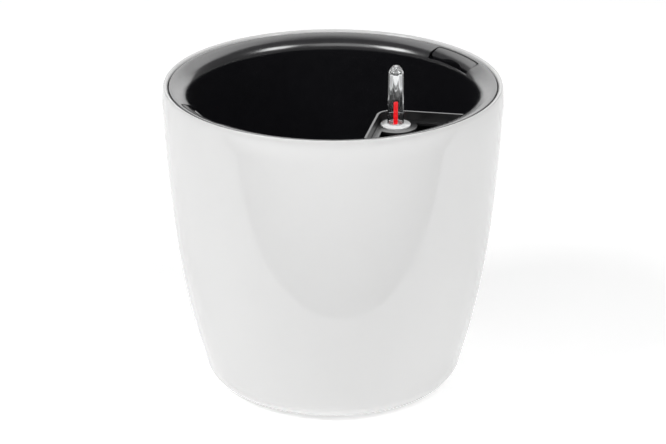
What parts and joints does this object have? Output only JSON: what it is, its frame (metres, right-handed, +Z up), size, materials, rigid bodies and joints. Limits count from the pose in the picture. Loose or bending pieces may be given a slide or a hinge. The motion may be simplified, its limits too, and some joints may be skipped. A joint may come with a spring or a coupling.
{
  "type": "self watering planter",
  "caption": "Round self-watering planter: glossy outer pot, lift-out liner with retractable handles, and a supply shaft with a float-type water level indicator.",
  "frame": {"origin": "centre of the base, on the surface that the planter stands on", "axes": "+Z up along the pot's axis; the handles lie on the X axis; the supply shaft and the indicator are on the -Y side"},
  "size_m": [0.28, 0.28, 0.2986],
  "materials": {
    "gloss_white": "high gloss white lacquer",
    "satin_anthracite": "satin moulded anthracite plastic",
    "matte_black": "matt moulded black plastic",
    "plug_grey": "matt dark grey plastic",
    "seal_rubber": "soft black rubber",
    "clear_plastic": "clear moulded plastic",
    "milky_plastic": "milky white moulded plastic",
    "signal_red": "satin red plastic",
    "float_white": "closed-cell foam, off-white"
  },
  "bodies": {
    "outer_pot": {"planter_shell": "gloss_white", "shell_drain_plug": "plug_grey", "shell_plug_seal": "seal_rubber"},
    "liner": {"liner_tub": "satin_anthracite"},
    "liner_plug": {"liner_drain_plug": "plug_grey", "liner_plug_seal": "seal_rubber"},
    "right_handle": {"right_handle": "satin_anthracite"},
    "left_handle": {"left_handle": "satin_anthracite"},
    "irrigation_set": {"separator_plate": "matte_black", "supply_shaft": "matte_black", "shaft_frame": "matte_black", "wick_cup_1": "matte_black", "wick_cup_2": "matte_black", "wick_cup_3": "matte_black", "wick_cup_4": "matte_black", "wick_cup_5": "matte_black"},
    "indicator": {"indicator_dome": "clear_plastic", "indicator_tube": "milky_plastic", "indicator_foot": "milky_plastic"},
    "float": {"float_body": "float_white", "float_rod": "signal_red"}
  },
  "joints": [
    {"name": "liner_lift", "type": "slide", "parent": "outer_pot", "child": "liner", "axis": [0, 0, 1], "range_m": [0, 0.25]},
    {"name": "right_handle_pull", "type": "slide", "parent": "liner", "child": "right_handle", "axis": [0, 0, 1], "range_m": [0, 0.042]},
    {"name": "left_handle_pull", "type": "slide", "parent": "liner", "child": "left_handle", "axis": [0, 0, 1], "range_m": [0, 0.042]},
    {"name": "liner_plug_lift", "type": "slide", "parent": "liner", "child": "liner_plug", "axis": [0, 0, 1], "range_m": [0, 0.045]},
    {"name": "irrigation_set_lift", "type": "slide", "parent": "liner", "child": "irrigation_set", "axis": [0, 0, 1], "range_m": [0, 0.2]},
    {"name": "indicator_lift", "type": "slide", "parent": "irrigation_set", "child": "indicator", "axis": [0, 0, 1], "range_m": [0, 0.24]},
    {"name": "float_rise", "type": "slide", "parent": "indicator", "child": "float", "axis": [0, 0, 1], "range_m": [0, 0.025]}
  ]
}
